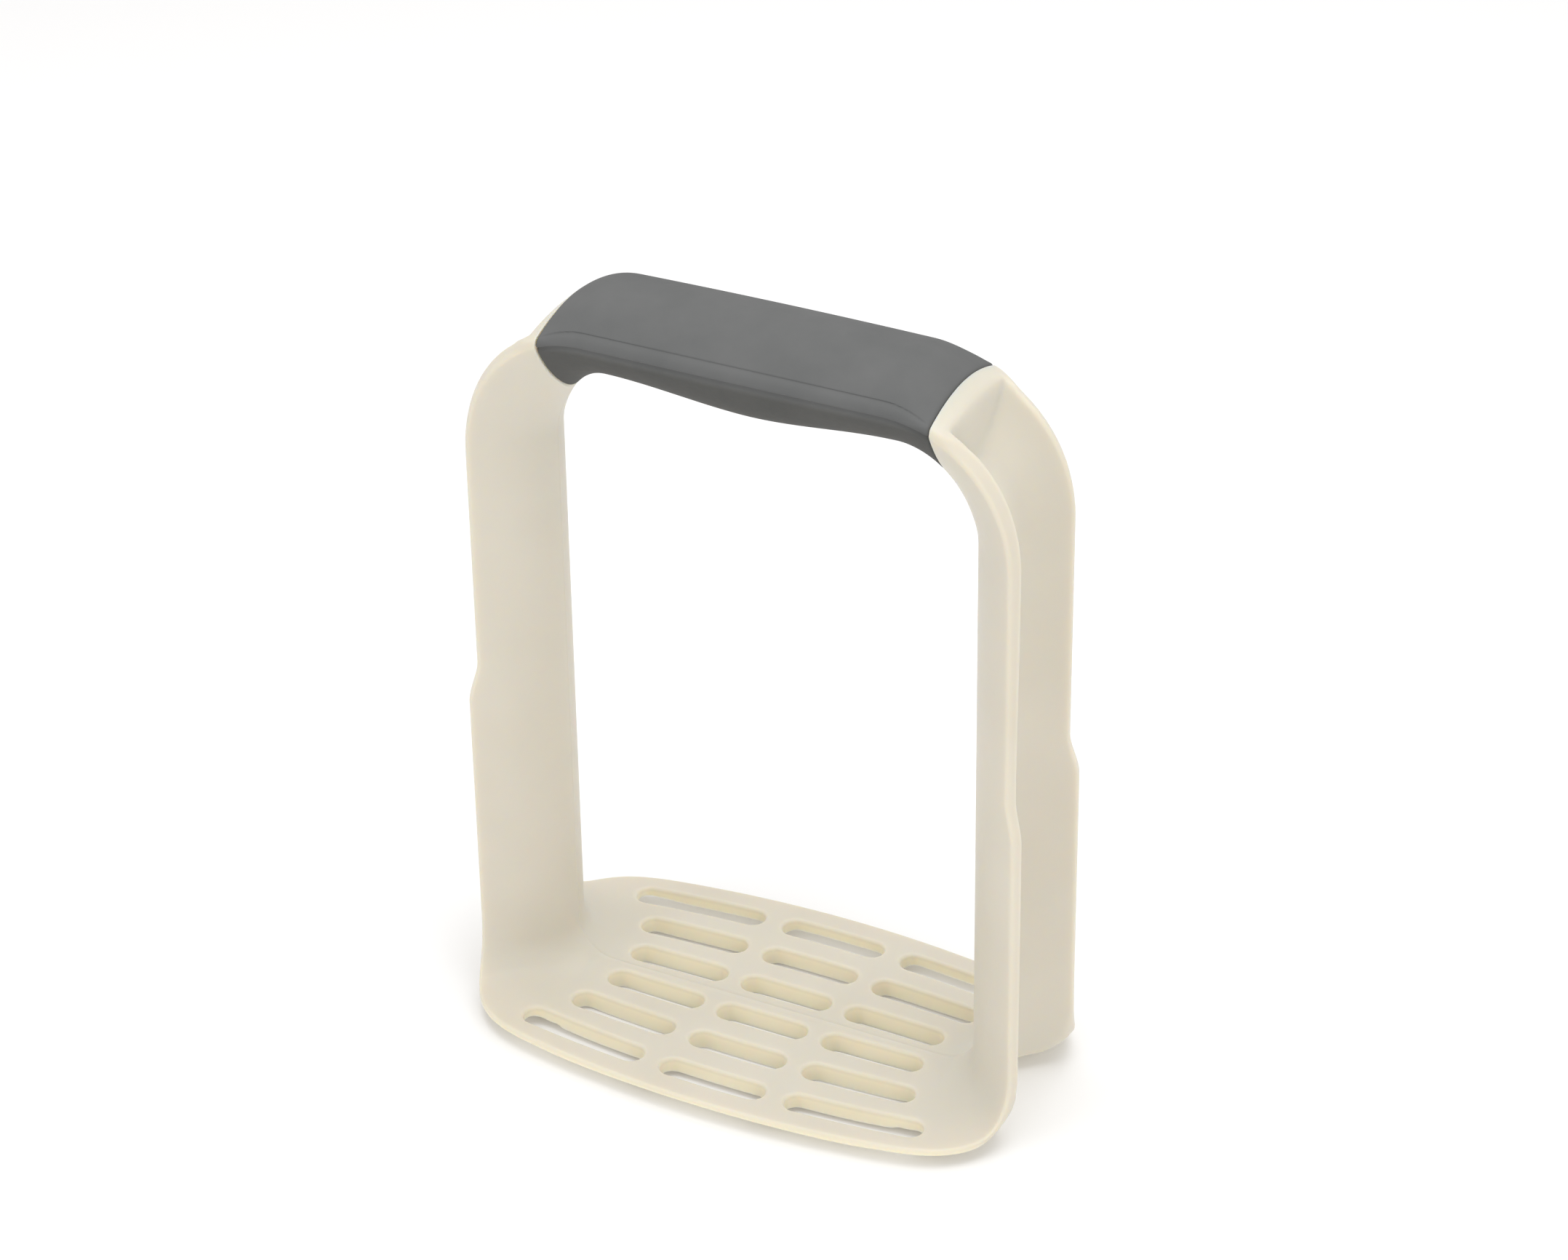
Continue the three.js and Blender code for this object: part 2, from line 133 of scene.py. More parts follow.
def smooth(t):
    t = np.clip(t, 0.0, 1.0)
    return t * t * (3 - 2 * t)


def soft_min(a, b, blend):
    share = np.clip(0.5 + 0.5 * (b - a) / blend, 0, 1)
    return b * (1 - share) + a * share - blend * share * (1 - share)


def soft_max(a, b, blend):
    return -soft_min(-a, -b, blend)


def flange(y):
    """How far the splayed wall of an upright has moved outwards at y."""
    return FLANGE_SPLAY * (np.hypot(y, NOSE_BLUNTNESS) - NOSE_BLUNTNESS) + FLANGE_CURL * y ** 4


def flange_slope(y):
    return FLANGE_SPLAY * y / np.hypot(y, NOSE_BLUNTNESS) + 4 * FLANGE_CURL * y ** 3


def nose_x(z):
    return NOSE_X - NOSE_TAPER * (z - NOSE_HEIGHT)


def flange_back(y, scale, thickness):
    """The back of a wall whose front is scale * flange(y)."""
    foot = y
    for _ in range(SOLVER_STEPS):
        slope = scale * flange_slope(foot)
        foot = y + thickness * slope / np.hypot(1, slope)
    return scale * flange(foot) + thickness / np.hypot(1, scale * flange_slope(foot))


def wall_edge(y, radius, scale, thickness):
    """Inner corner of a wall's free edge, square to the wall's front."""
    slope = scale * flange_slope(y)
    length = math.hypot(1, slope)
    return y - thickness * slope / length, radius + thickness / length


def underside(x, y):
    off_y = np.maximum(0, np.abs(y) - FLAT_HALF_WIDTH)
    off_x = np.clip((np.abs(x) - FLAT_HALF_LENGTH) / (UNDERSIDE_REACH - FLAT_HALF_LENGTH), 0, 1.05)
    height = -PLATE_THICKNESS + UNDERSIDE_RISE_Y * off_y ** 2 + UNDERSIDE_RISE_X * off_x ** 4
    return soft_min(height, -THINNEST, UNDERSIDE_BLEND)


def foot(x, y):
    """Height of the underside where it curls up to the outer face of the upright."""
    off_y = np.clip(y - CORNER_Y, 0, 0.99 * CORNER_RADIUS)
    round_off = CORNER_RADIUS - np.sqrt(CORNER_RADIUS ** 2 - off_y ** 2)
    share = np.maximum((x + round_off - FOOT_FROM_X) / FOOT_WIDTH, 0)
    curl = 1 - np.sqrt(1 - np.minimum(share, 1) ** 2) + 5 * np.maximum(share - 1, 0)
    return underside(x, y) + FOOT_HEIGHT * smooth((FOOT_TO_Y - y) / FOOT_FADE) * curl


def bend_front(y, phi):
    """Distance from the bend centre to the plate's top, the round bend or the nose."""
    out_x = BEND_RADIUS * np.hypot(1, flange_slope(y))
    centre_x = nose_x(0) + flange(y) - out_x
    floor_distance = BEND_RADIUS / max(math.cos(phi), 1e-9)
    offset = (BEND_CENTRE_X - centre_x) / out_x
    dx, dz = math.sin(phi) / out_x, math.cos(phi) / BEND_RADIUS
    a, b, c = dx * dx + dz * dz, 2 * offset * dx, offset * offset - 1
    round_distance = (-b + np.sqrt(np.maximum(b * b - 4 * a * c, 0))) / (2 * a)
    on_floor = BEND_CENTRE_X + floor_distance * math.sin(phi) <= centre_x
    return np.where(on_floor, floor_distance, round_distance)


# ---- Sections: half of the outline, from the middle of the front round to the middle behind ----

def half_curve(origin, direction, end_y, end_radius, radius):
    t = np.linspace(0, 1, CURVE_SAMPLES)
    y = end_y * t
    miss = end_radius - float(radius(np.array([end_y]))[0])
    r = radius(y) + miss * t ** 6
    return np.stack([origin[0] + r * direction[0], y, origin[1] + r * direction[1]], -1)


def along(points, distances):
    """Points at the given arc lengths along a polyline."""
    steps = np.linalg.norm(np.diff(points, axis=0), axis=1)
    length = np.concatenate([[0], np.cumsum(steps)])
    return np.stack([np.interp(distances, length, points[:, k]) for k in range(3)], -1)


def arc_length(points):
    return float(np.linalg.norm(np.diff(points, axis=0), axis=1).sum())


def trimmed(points, reach):
    return along(points, np.linspace(0, arc_length(points) - reach, CURVE_SAMPLES))


def corner_round(start, corner, end):
    t = np.linspace(0, 1, 9)[:, None]
    return start * (1 - t) ** 2 + 2 * corner * t * (1 - t) + end * t ** 2


def relieve(points, height):
    """Moves the points of a half section outwards, square to its outline."""
    across = points[-1] - points[0]
    across /= np.linalg.norm(across)
    step = np.gradient(points, axis=0)
    step /= np.linalg.norm(step, axis=1)[:, None]
    outwards = -step[:, 1:2] * across + (step @ across)[:, None] * np.array([0, 1, 0])
    return points + outwards * height[:, None]


def grip_relief(distances, edge_start, edge_end, band):
    """A groove under the rolled edge of the grip, and the step at its mould line above."""
    groove = GROOVE_DEPTH * np.exp(-((distances - edge_start) / GROOVE_WIDTH) ** 2)
    below = edge_end + band * BAND_WIDTH - distances
    step = SEAM_STEP * smooth(0.5 + below / SEAM_WIDTH) * np.exp(-(below / SEAM_FADE) ** 2)
    return -groove - step * smooth(3 * band)


def frame_relief(distances):
    """The fine mould line down the middle of the front."""
    return PARTING_HEIGHT * np.clip(1 - distances / PARTING_WIDTH, 0, 1)


def half_section(front, back, rounding, plan, band=1.0):
    """Joins a front and a back curve by a free edge with two rounded corners."""
    margin, front_count, edge_count, back_count = plan
    edge = back[-1] - front[-1]
    width = float(np.linalg.norm(edge))
    reach = min(rounding, 0.46 * width)
    front_part, back_part = trimmed(front, reach), trimmed(back, reach)
    step = edge / width * reach
    first = corner_round(front_part[-1], front[-1], front[-1] + step)
    second = corner_round(back[-1] - step, back[-1], back_part[-1])
    outline = np.concatenate([front_part[:-1], first, second, back_part[::-1][1:]])
    total = arc_length(outline)
    edge_from = arc_length(front_part) - margin
    edge_to = total - arc_length(back_part) + margin
    distances = np.concatenate([
        (0, PARTING_WIDTH),
        np.linspace(0, edge_from, front_count)[1:-1],
        np.linspace(edge_from, edge_to, edge_count)[:-1],
        np.linspace(edge_to, total, back_count),
    ])
    points = along(outline, distances)
    if margin:
        height = grip_relief(distances, edge_from + margin, edge_to - margin, band)
    else:
        height = frame_relief(distances)
    return relieve(points, height)


def plate_section(x):
    edge = PLATE_HALF_DEPTH - PLATE_EDGE_BOW * x * x
    back_edge = edge - PLATE_EDGE_UNDERCUT
    front = half_curve((x, 0), (0, -1), edge, 0, lambda y: 0 * y)
    back = half_curve((x, 0), (0, -1), back_edge, -float(underside(x, back_edge)),
                      lambda y: -underside(x, y))
    return half_section(front, back, PLATE_ROUNDING, FRAME_SECTION)


def corner_plane(x, z):
    """Origin, direction, distance and lean of the plane through a point of the lower corner."""
    if z >= BEND_RADIUS:
        return (BEND_CENTRE_X, z), (1, 0), x - BEND_CENTRE_X, math.pi / 2
    phi = math.atan2(x - BEND_CENTRE_X, BEND_RADIUS - z)
    direction = (math.sin(phi), -math.cos(phi))
    radius = math.hypot(x - BEND_CENTRE_X, BEND_RADIUS - z)
    return (BEND_CENTRE_X, BEND_RADIUS), direction, radius, phi


def corner_back(phi, z, y):
    """Distance to the plate's underside or to the back of the upright, whichever is nearer."""
    wall_x = nose_x(max(z, 0)) + flange_back(y, 1, WALL) - BEND_CENTRE_X
    wall_radius = wall_x / max(math.sin(phi), 1e-6)
    if phi >= math.pi / 2 - 1e-6:
        return wall_radius
    inside, outside = 0 * y, RAY_LENGTH + 0 * y
    for _ in range(SOLVER_STEPS):
        radius = (inside + outside) / 2
        x, height = BEND_CENTRE_X + radius * math.sin(phi), BEND_RADIUS - radius * math.cos(phi)
        above = height > foot(x, y)
        inside, outside = np.where(above, radius, inside), np.where(above, outside, radius)
    front = bend_front(y, phi)
    solid = np.clip((FOOT_TO_Y - y) / FOOT_GROWTH, 0, 1)
    thickest = front + THICKEST + FOOT_THICKNESS * solid
    back = soft_min(soft_min(inside, wall_radius, WALL_BLEND), thickest, FOOT_BLEND)
    off_y = np.clip(y - CORNER_Y, 0, CORNER_RADIUS)
    outline = CORNER_X + np.sqrt(CORNER_RADIUS ** 2 - off_y ** 2) - BEND_CENTRE_X
    back = soft_min(back, outline / math.sin(phi), OUTLINE_BLEND)
    return np.maximum(back, front + THINNEST)


def corner_section(x, y, z):
    origin, direction, radius, phi = corner_plane(x, z)
    if z < BEND_RADIUS:
        front = half_curve(origin, direction, y, radius, lambda a: bend_front(a, phi))
    else:
        front = half_curve(origin, direction, y, radius,
                           lambda a: nose_x(z) + flange(a) - BEND_CENTRE_X)
    turned = float(smooth((RIM_FROM_Y - y) / RIM_WIDTH))
    slope = flange_slope(min(y, RIM_SLOPE_TO_Y))
    wall_face = Vector((1, -slope, 0)).normalized() * WALL * turned
    outward = Vector((x - CORNER_X, y - CORNER_Y, 0)).normalized() * RIM_LEAN
    rim_face = (Vector((0, 0, -1)) - outward) * RIM_THICKNESS * (1 - turned)
    rim = Vector((x, y, z)) + wall_face + rim_face
    origin, direction, radius, back_phi = corner_plane(rim.x, rim.z)
    back = half_curve(origin, direction, rim.y, radius,
                      lambda a: corner_back(back_phi, rim.z, a))
    rounding = PLATE_ROUNDING + (WALL_ROUNDING - PLATE_ROUNDING) * turned
    return half_section(front, back, rounding, FRAME_SECTION)


def upright_section(z):
    origin, out = (HANDLE_X, z), (1, 0)
    turned = float(smooth((z - STEP_BOTTOM) / (STEP_TOP - STEP_BOTTOM)))
    half_depth = LOWER_HALF_DEPTH + (UPPER_HALF_DEPTH - LOWER_HALF_DEPTH) * turned
    rise = (z - STEP_TOP) / (HANDLE_Z - STEP_TOP)
    thickness = WALL + UPRIGHT_EXTRA_WALL * float(smooth(rise))
    nose = nose_x(z) - HANDLE_X
    rim = nose + float(flange(half_depth))
    edge_y, edge_radius = wall_edge(half_depth, rim, 1, thickness)
    front = half_curve(origin, out, half_depth, rim, lambda y: nose + flange(y))
    back = half_curve(origin, out, edge_y, edge_radius,
                      lambda y: nose + flange_back(y, 1, thickness))
    return half_section(front, back, WALL_ROUNDING, FRAME_SECTION)


def handle_section(phi, x, plan):
    origin, direction = (x, HANDLE_Z), (math.cos(phi), math.sin(phi))
    degrees, along_handle = math.degrees(phi), x / HANDLE_X
    start = nose_x(HANDLE_Z) - HANDLE_X
    arch = smooth((degrees - ARCH_FROM) / ARCH_SPAN) - 1 + smooth(along_handle)
    nose = start + HANDLE_ARCH * float(arch)
    span = float(flange(UPPER_HALF_DEPTH))
    rim = start + span + HANDLE_RIM_LIFT * float(smooth(degrees / RIM_SPAN))
    scale = (rim - nose) / span
    thickness = WALL + UPRIGHT_EXTRA_WALL + CORNER_EXTRA_WALL * float(smooth(degrees / WALL_SPAN))
    crown = CROWN_RADIUS - CROWN_DROP * float(smooth((90 - degrees) / CROWN_SPAN))
    crown += CROWN_CAMBER * (1 - along_handle ** 2)
    wall_y, wall_radius = wall_edge(UPPER_HALF_DEPTH, rim, scale, thickness)
    turned = float(smooth((degrees - EDGE_FROM) / EDGE_SPAN))
    edge_y = wall_y + (UPPER_HALF_DEPTH - CREASE_INSET - wall_y) * turned
    edge_radius = wall_radius + (rim + CREASE_THICKNESS - wall_radius) * turned
    past = max(phi - POCKET_START, 0)
    ramp = POCKET_FLOOR + POCKET_SLOPE * past + POCKET_CURVE * past ** 2

    def back_radius(y):
        dome = CREASE_RADIUS + (crown - CREASE_RADIUS) * (1 - (y / UPPER_HALF_DEPTH) ** 2)
        pocket = soft_max(nose + flange_back(y, scale, thickness), ramp, POCKET_VALLEY)
        return soft_min(dome, pocket, POCKET_LIP)

    front = half_curve(origin, direction, UPPER_HALF_DEPTH, rim,
                       lambda y: nose + scale * flange(y))
    back = half_curve(origin, direction, edge_y, edge_radius, back_radius)
    rounding = WALL_ROUNDING + (HANDLE_ROUNDING - WALL_ROUNDING) * turned
    band = 1 - min(1.0, (90 - degrees) / GRIP_BEND) ** 2
    return half_section(front, back, rounding, plan, band)


# ---- Surfaces: stacks of closed rings ----

def ring(half):
    other = half[::-1][1:-1].copy()
    other[:, 1] *= -1
    return np.concatenate([half, other])


def flip_x(rings):
    flipped = rings[::-1].copy()
    flipped[:, :, 0] *= -1
    return flipped


def spread(start, end, count):
    return np.linspace(start, end, count + 1)[1:]


def corner_rim():
    """Rim of a lower corner: the plate's long edge, the round corner, then up the flange."""
    start_x = CORNER_X + CORNER_RADIUS * math.sin(CORNER_START)
    for x in spread(BEND_CENTRE_X, start_x, 6)[:-1]:
        yield x, PLATE_HALF_DEPTH - PLATE_EDGE_BOW * x * x, 0.0
    for turn in np.linspace(CORNER_START, CORNER_END, 13)[:-1]:
        x = CORNER_X + CORNER_RADIUS * math.sin(turn)
        yield x, CORNER_Y + CORNER_RADIUS * math.cos(turn), 0.0
    for rise in np.linspace(0, math.pi / 2, 31):
        y = RIM_FROM_Y - RIM_WIDTH * math.sin(rise)
        x = CORNER_X + math.sqrt(CORNER_RADIUS ** 2 - (y - CORNER_Y) ** 2)
        yield x, y, RIM_HEIGHT * (1 - math.cos(rise))


def eased(sections):
    """Evens out a run of sections along the loop; the first and the last stay."""
    points = np.array(sections)
    for _ in range(CORNER_EASING):
        points[1:-1] = (points[:-2] + 2 * points[1:-1] + points[2:]) / 4
    return list(points)


def lower_rings():
    """From the middle of the plate to the start of the handle's bend, at +X."""
    halves = [plate_section(x) for x in np.linspace(0, BEND_CENTRE_X, 24)]
    corner = [corner_section(*point) for point in corner_rim()]
    halves += corner[:2] + eased(corner[2:])
    heights = [*spread(RIM_HEIGHT, STEP_BOTTOM, 16), *spread(STEP_BOTTOM, STEP_TOP, 18),
               *spread(STEP_TOP, HANDLE_Z, 14)]
    halves += [upright_section(z) for z in heights]
    return np.array([ring(half) for half in halves])


def handle_rings(plan):
    """From the start of the handle's bend to the middle of the handle, at +X."""
    halves = [handle_section(phi, HANDLE_X, plan) for phi in np.linspace(0, math.pi / 2, 121)]
    halves += [handle_section(math.pi / 2, x, plan) for x in spread(HANDLE_X, 0, 40)]
    return np.array([ring(half) for half in halves])


def ring_at_x(rings, x):
    """For each line along the loop, where it crosses the plane at x: index and point."""
    count = len(rings)
    where = np.array([np.interp(-x, -rings[:, j, 0], np.arange(count))
                      for j in range(rings.shape[1])])
    return where, sample_rings(rings, where)


def sample_rings(rings, where):
    low = np.clip(np.floor(where).astype(int), 0, len(rings) - 2)
    share = (where - low)[:, None]
    lines = np.arange(rings.shape[1])
    return rings[low, lines] * (1 - share) + rings[low + 1, lines] * share


def inset(points, distance):
    """Moves a ring in the plane of X inwards."""
    tangent = np.roll(points, -1, axis=0) - np.roll(points, 1, axis=0)
    normal = np.stack([0 * tangent[:, 0], -tangent[:, 2], tangent[:, 1]], -1)
    normal /= np.linalg.norm(normal, axis=1)[:, None]
    centre = points.mean(0)
    if float(((points - centre) * normal).sum()) > 0:
        normal = -normal
    return points + normal * distance


def end_lip(rings, x, towards, radius):
    """A rounded end whose outermost plane is at x; towards is the sign of the way it faces."""
    out = []
    for turn in np.linspace(0, math.pi / 2, 6):
        at = x - towards * radius * (1 - math.sin(turn))
        out.append(inset(ring_at_x(rings, at)[1], radius * (1 - math.cos(turn))))
    return out


def stretch(rings, start, end, count):
    """Rings evenly spread between two sets of indices."""
    return [sample_rings(rings, start + (end - start) * t) for t in np.linspace(0, 1, count)]


def build_mesh(name, rings):
    """A closed tube through the rings, in metres, with the plate's underside on the floor."""
    count = len(rings[0])
    points = np.concatenate(list(rings)) * MM
    points[:, 2] += cad_low.z + PLATE_THICKNESS * MM
    faces = []
    for i in range(len(rings) - 1):
        for j in range(count):
            k = (j + 1) % count
            a, b = i * count, (i + 1) * count
            faces.append((a + j, b + j, b + k, a + k))
    last = (len(rings) - 1) * count
    faces.append(tuple(range(count)))
    faces.append(tuple(range(last + count - 1, last - 1, -1)))
    mesh = bpy.data.meshes.new(name)
    mesh.from_pydata([tuple(p) for p in points], [], faces)
    obj = bpy.data.objects.new(name, mesh)
    bpy.context.scene.collection.objects.link(obj)
    return obj


# ---- Cutting tools ----

def slot_outline(row, side, start, end, grow):
    y, bow = row[0], row[1]
    base = SLOT_WIDTH / 2
    radius = base + grow
    points = []

    def add(x, turn):
        tilt = math.atan(-side * 2 * bow * x / SLOT_BRIDGE_X ** 2) + turn
        centre_y = side * (y - bow * (x / SLOT_BRIDGE_X) ** 2)
        points.append((x + radius * math.cos(tilt), centre_y + radius * math.sin(tilt)))

    for turn in spread(-math.pi / 2, math.pi / 2, 16):
        add(end - base, turn)
    for x in spread(end - base, start + base, 10):
        add(x, math.pi / 2)
    for turn in spread(math.pi / 2, 1.5 * math.pi, 16):
        add(start + base, turn)
    for x in spread(start + base, end - base, 10):
        add(x, -math.pi / 2)
    return points


def slot_levels():
    """Height and growth of the slot's outline, from below the plate up to above its top."""
    levels = [(-2 * PLATE_THICKNESS, 0.0)]
    for turn in np.linspace(0, FLARE_END, 7):
        levels.append((-SLOT_FLARE * (1 - math.sin(turn)), SLOT_FLARE * (1 - math.cos(turn))))
    z, grow = levels[-1]
    levels.append((FLARE_OVERSHOOT, grow + (FLARE_OVERSHOOT - z) * math.tan(FLARE_END)))
    levels.append((PLATE_THICKNESS, levels[-1][1]))
    return levels


def slot_cutter():
    parts = []
    for row in SLOT_ROWS:
        middle, bridge, outer = row[2:]
        spans = ((-outer, -middle - bridge), (-middle, middle), (middle + bridge, outer))
        for side in (-1, 1):
            for start, end in spans:
                rings = [np.array([(x, y, z) for x, y in slot_outline(row, side, start, end, grow)])
                         for z, grow in slot_levels()]
                parts.append(build_mesh("slot", rings))
    return join(parts)


def core_bar(grow, name):
    """The bar inside the grip, which follows the bend of the handle."""
    low, high, chamfer = CORE_INNER - grow, CORE_OUTER + grow, CORE_CHAMFER
    wide = CORE_HALF_WIDTH + grow
    outline = [(low, -wide + chamfer), (low, wide - chamfer), (low + chamfer, wide),
               (high - chamfer, wide), (high, wide - chamfer), (high, -wide + chamfer),
               (high - chamfer, -wide), (low + chamfer, -wide)]
    reach = CORE_HALF_LENGTH - HANDLE_X
    rings = []
    for turned in np.linspace(0, 1, 14):
        points = []
        for radius, y in outline:
            phi = math.acos(reach / radius)
            phi += (math.pi / 2 - phi) * turned
            points.append((HANDLE_X + radius * math.cos(phi), y, HANDLE_Z + radius * math.sin(phi)))
        rings.append(points)
    rings = np.array(rings)
    return build_mesh(name, np.concatenate([rings, flip_x(rings)]))


def join(parts):
    """One object from several closed shells."""
    bm = bmesh.new()
    for part in parts:
        bm.from_mesh(part.data)
    target = parts[0]
    bm.to_mesh(target.data)
    bm.free()
    for part in parts[1:]:
        bpy.data.objects.remove(part)
    return target


def face_outwards(obj):
    bm = bmesh.new()
    bm.from_mesh(obj.data)
    bmesh.ops.recalc_face_normals(bm, faces=bm.faces)
    bm.to_mesh(obj.data)
    bm.free()


def boolean(obj, tool, operation):
    for part in (obj, tool):
        face_outwards(part)
    modifier = obj.modifiers.new(operation, "BOOLEAN")
    modifier.operation = operation
    modifier.solver = "EXACT"
    modifier.object = tool
    bpy.context.view_layer.update()
    depsgraph = bpy.context.evaluated_depsgraph_get()
    mesh = bpy.data.meshes.new_from_object(obj.evaluated_get(depsgraph))
    obj.modifiers.clear()
    old = obj.data
    obj.data = mesh
    bpy.data.meshes.remove(old)
    bpy.data.objects.remove(tool)


def shade(obj, sharp_degrees=38):
    mesh = obj.data
    mesh.polygons.foreach_set("use_smooth", [True] * len(mesh.polygons))
    mesh.set_sharp_from_angle(angle=math.radians(sharp_degrees))
    mesh.update()


# ---- The two pieces ----

def make_frame():
    upper = handle_rings(FRAME_SECTION)
    end_x = GRIP_HALF_LENGTH + GRIP_GAP
    crossing = ring_at_x(upper, end_x + FRAME_LIP)[0]
    right = list(lower_rings()[:-1]) + stretch(upper, 0 * crossing, crossing, 64)
    right += end_lip(upper, end_x, -1, FRAME_LIP)[1:]
    right = np.array(right)
    obj = build_mesh("moulded_frame", np.concatenate([flip_x(right)[:-1], right]))
    boolean(obj, core_bar(0, "core"), "UNION")
    boolean(obj, slot_cutter(), "DIFFERENCE")
    shade(obj)
    return obj


def make_grip():
    surface = handle_rings(GRIP_SECTION)
    crossing = ring_at_x(surface, GRIP_HALF_LENGTH - GRIP_LIP)[0]
    middle = 0 * crossing + len(surface) - 1
    right = end_lip(surface, GRIP_HALF_LENGTH, 1, GRIP_LIP)[::-1][:-1]
    right += stretch(surface, crossing, middle, 70)
    right = np.array(right)
    obj = build_mesh("grip_sleeve", np.concatenate([right, flip_x(right)[1:]]))
    boolean(obj, core_bar(CORE_FIT, "core_hole"), "DIFFERENCE")
    shade(obj)
    return obj


# ---- Materials ----

def new_material(name):
    material = bpy.data.materials.new(name)
    material.use_nodes = True
    nodes = material.node_tree.nodes
    nodes.clear()
    output = nodes.new("ShaderNodeOutputMaterial")
    shader = nodes.new("ShaderNodeBsdfPrincipled")
    material.node_tree.links.new(shader.outputs["BSDF"], output.inputs["Surface"])
    return material, shader


def noise(material, scale, detail=3.0, roughness=0.55):
    nodes, links = material.node_tree.nodes, material.node_tree.links
    place = nodes.new("ShaderNodeTexCoord")
    texture = nodes.new("ShaderNodeTexNoise")
    texture.inputs["Scale"].default_value = scale
    texture.inputs["Detail"].default_value = detail
    texture.inputs["Roughness"].default_value = roughness
    links.new(place.outputs["Object"], texture.inputs["Vector"])
    return texture.outputs["Fac"]


def ramp(material, source, stops):
    nodes, links = material.node_tree.nodes, material.node_tree.links
    node = nodes.new("ShaderNodeValToRGB")
    elements = node.color_ramp.elements
    for element, (position, colour) in zip(elements, stops):
        element.position = position
        element.color = (*colour, 1)
    links.new(source, node.inputs["Fac"])
    return node.outputs["Color"]


def value_range(material, source, low, high):
    nodes, links = material.node_tree.nodes, material.node_tree.links
    node = nodes.new("ShaderNodeMapRange")
    node.inputs["To Min"].default_value = low
    node.inputs["To Max"].default_value = high
    links.new(source, node.inputs["Value"])
    return node.outputs["Result"]


def bump(material, source, distance, strength):
    nodes, links = material.node_tree.nodes, material.node_tree.links
    node = nodes.new("ShaderNodeBump")
    node.inputs["Distance"].default_value = distance
    node.inputs["Strength"].default_value = strength
    links.new(source, node.inputs["Height"])
    return node.outputs["Normal"]


def height_share(material, low, high):
    """One at and below low, falling to zero at high."""
    nodes, links = material.node_tree.nodes, material.node_tree.links
    place = nodes.new("ShaderNodeTexCoord")
    split = nodes.new("ShaderNodeSeparateXYZ")
    node = nodes.new("ShaderNodeMapRange")
    links.new(place.outputs["Object"], split.inputs["Vector"])
    links.new(split.outputs["Z"], node.inputs["Value"])
    node.inputs["From Min"].default_value = low
    node.inputs["From Max"].default_value = high
    node.inputs["To Min"].default_value = 1.0
    node.inputs["To Max"].default_value = 0.0
    return node.outputs["Result"]


def mix_colours(material, share, first, second):
    nodes, links = material.node_tree.nodes, material.node_tree.links
    node = nodes.new("ShaderNodeMix")
    node.data_type = "RGBA"
    links.new(share, node.inputs["Factor"])
    links.new(first, node.inputs["A"])
    links.new(second, node.inputs["B"])
    return node.outputs["Result"]


# Painted light: the plastic is a little translucent, and its low parts, the walls of the slots and
# the plate's edges, are painted paler and yellower to stand in for light passing through it. The
# colour changes between these heights above the floor, in millimetres.
PAINTED_GLOW_TO, PAINTED_GLOW_FROM = 3.6, 4.9


def plastic_material():
    material, shader = new_material("cream_moulded_plastic")
    links = material.node_tree.links
    tone = noise(material, 28.0, 2.0)
    upper = ramp(material, tone, ((0.3, (0.63, 0.593, 0.503)), (0.7, (0.66, 0.627, 0.542))))
    # painted light: paler, yellower colour for the low parts, standing in for light through the
    # plastic
    painted_glow = ramp(material, tone, ((0.3, (0.79, 0.74, 0.585)), (0.7, (0.81, 0.76, 0.61))))
    share = height_share(material, cad_low.z + PAINTED_GLOW_TO * MM, cad_low.z + PAINTED_GLOW_FROM * MM)
    links.new(mix_colours(material, share, upper, painted_glow), shader.inputs["Base Color"])
    links.new(value_range(material, noise(material, 420.0), 0.36, 0.52),
              shader.inputs["Roughness"])
    links.new(bump(material, noise(material, 2400.0, 2.0), 0.00004, 0.25),
              shader.inputs["Normal"])
    shader.inputs["Subsurface Weight"].default_value = 0.8
    shader.inputs["Subsurface Radius"].default_value = (1.0, 0.75, 0.42)
    shader.inputs["Subsurface Scale"].default_value = 0.003
    shader.inputs["Specular IOR Level"].default_value = 0.3
    return material


# Painted shade: the finger side of the grip, below these heights, is painted darker than the palm
# side.
PAINTED_SHADE_TO, PAINTED_SHADE_FROM = 168.9, 171.6


def grip_material():
    material, shader = new_material("soft_touch_grip")
    links = material.node_tree.links
    tone = noise(material, 60.0, 3.0)
    top = ramp(material, tone, ((0.3, (0.113, 0.116, 0.116)), (0.7, (0.133, 0.135, 0.135))))
    # painted shade: darker colour for the finger side, below the heights above
    below = ramp(material, tone, ((0.3, (0.076, 0.077, 0.074)), (0.7, (0.090, 0.090, 0.086))))
    share = height_share(material, cad_low.z + PAINTED_SHADE_TO * MM, cad_low.z + PAINTED_SHADE_FROM * MM)
    links.new(mix_colours(material, share, top, below), shader.inputs["Base Color"])
    links.new(value_range(material, noise(material, 700.0), 0.66, 0.80),
              shader.inputs["Roughness"])
    links.new(bump(material, noise(material, 3200.0, 3.0), 0.00005, 0.5),
              shader.inputs["Normal"])
    shader.inputs["Specular IOR Level"].default_value = 0.2
    return material


def floor_material():
    material, shader = new_material("pale_floor")
    links = material.node_tree.links
    tone = noise(material, 3.0)
    links.new(ramp(material, tone, ((0.0, (0.82, 0.825, 0.835)), (1.0, (0.84, 0.845, 0.855)))),
              shader.inputs["Base Color"])
    shader.inputs["Roughness"].default_value = 0.9
    shader.inputs["Specular IOR Level"].default_value = 0.0
    # Painted light: the floor glows weakly and warmly, standing in for light passed through the
    # plastic into the shade under and around the plate.
    shader.inputs["Emission Color"].default_value = (1.0, 0.91, 0.82, 1)
    shader.inputs["Emission Strength"].default_value = 0.09
    return material


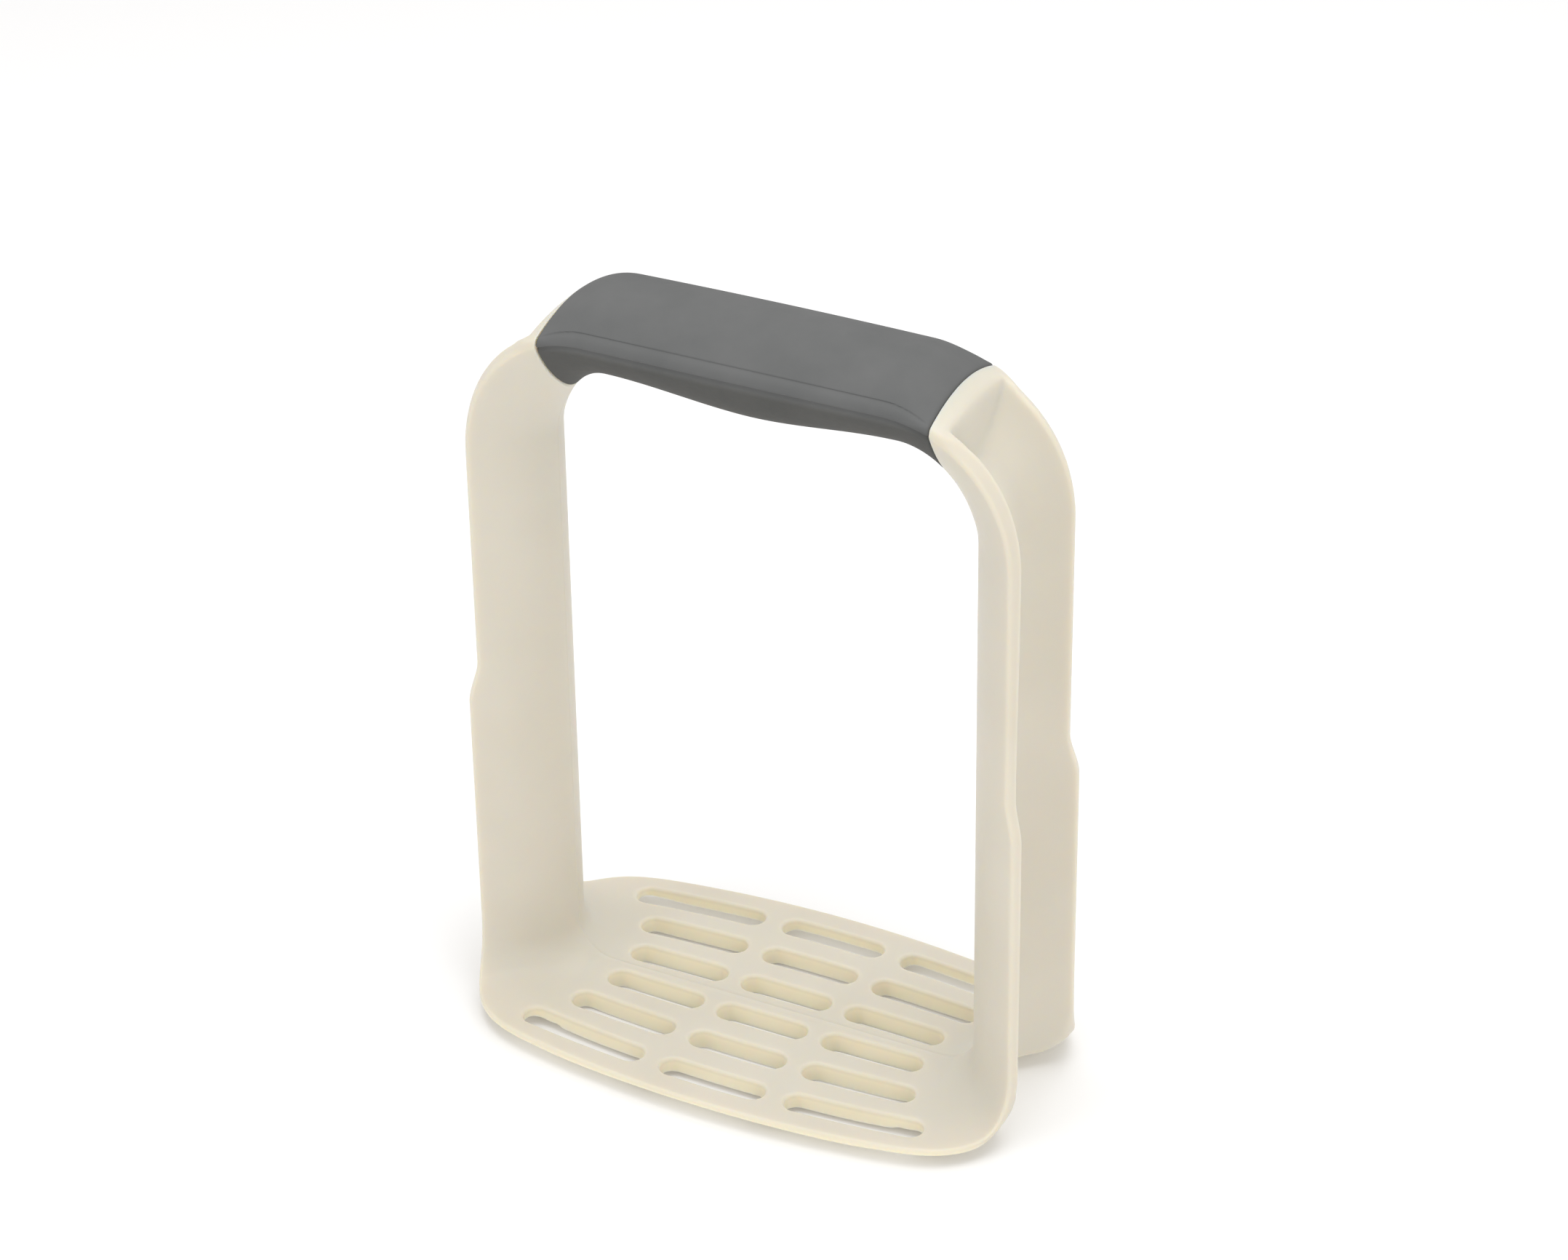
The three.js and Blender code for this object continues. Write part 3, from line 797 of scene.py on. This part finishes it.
# ---- Setting ----

CAMERA_AZIMUTH, CAMERA_ELEVATION, CAMERA_ROLL = (math.radians(a) for a in (27.59, 30.82, -0.839))
CAMERA_DISTANCE = 0.8808
CAMERA_AIM = Vector((0.0039, 0.0, cad_low.z + 0.1055))
SENSOR_WIDTH, LENS = 36.0, 94.4


def make_camera():
    away = Vector((math.sin(CAMERA_AZIMUTH) * math.cos(CAMERA_ELEVATION),
                   -math.cos(CAMERA_AZIMUTH) * math.cos(CAMERA_ELEVATION),
                   math.sin(CAMERA_ELEVATION)))
    right = (-away).cross(Vector((0, 0, 1))).normalized()
    up = right.cross(-away)
    rolled_right = right * math.cos(CAMERA_ROLL) + up * math.sin(CAMERA_ROLL)
    rolled_up = up * math.cos(CAMERA_ROLL) - right * math.sin(CAMERA_ROLL)
    data = bpy.data.cameras.new("camera")
    data.sensor_width = SENSOR_WIDTH
    data.lens = LENS
    data.clip_end = 50
    camera = bpy.data.objects.new("camera", data)
    turn = Matrix((rolled_right, rolled_up, away)).transposed().to_4x4()
    camera.matrix_world = Matrix.Translation(CAMERA_AIM + away * CAMERA_DISTANCE) @ turn
    bpy.context.scene.collection.objects.link(camera)
    bpy.context.scene.camera = camera


def make_floor():
    size = 4.0
    mesh = bpy.data.meshes.new("floor")
    corners = [(-size, -size), (size, -size), (size, size), (-size, size)]
    mesh.from_pydata([(x, y, cad_low.z) for x, y in corners], [], [(0, 1, 2, 3)])
    floor = bpy.data.objects.new("floor", mesh)
    bpy.context.scene.collection.objects.link(floor)
    floor.data.materials.append(floor_material())


def area_light(name, place, aim, size, watts):
    data = bpy.data.lights.new(name, "AREA")
    data.shape = "RECTANGLE"
    data.size, data.size_y = size
    data.energy = watts
    light = bpy.data.objects.new(name, data)
    direction = Vector(aim) - Vector(place)
    light.matrix_world = (Matrix.Translation(Vector(place))
                          @ direction.to_track_quat("-Z", "Y").to_matrix().to_4x4())
    bpy.context.scene.collection.objects.link(light)


def make_light():
    world = bpy.data.worlds.new("studio")
    world.use_nodes = True
    background = world.node_tree.nodes["Background"]
    background.inputs["Color"].default_value = (1.0, 0.99, 0.975, 1)
    background.inputs["Strength"].default_value = 0.64
    bpy.context.scene.world = world
    middle = (0, 0, 0.09)
    area_light("overhead", (0.1, 0.1, 1.3), middle, (1.1, 1.1), 10.3)
    area_light("left_front", (-0.8, -0.9, 0.8), middle, (0.8, 0.8), 3.6)
    area_light("right_front", (0.9, -0.75, 0.6), middle, (0.8, 0.8), 4.0)
    bpy.context.scene.view_settings.view_transform = "Standard"


# ---- Assembly ----

make_camera()
make_floor()
make_light()

moulded_frame = make_frame()
moulded_frame.data.materials.clear()
moulded_frame.data.materials.append(plastic_material())
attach(moulded_frame, "root")
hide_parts("frame")

grip_sleeve = make_grip()
grip_sleeve.data.materials.clear()
grip_sleeve.data.materials.append(grip_material())
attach(grip_sleeve, "root")
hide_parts("soft_grip")
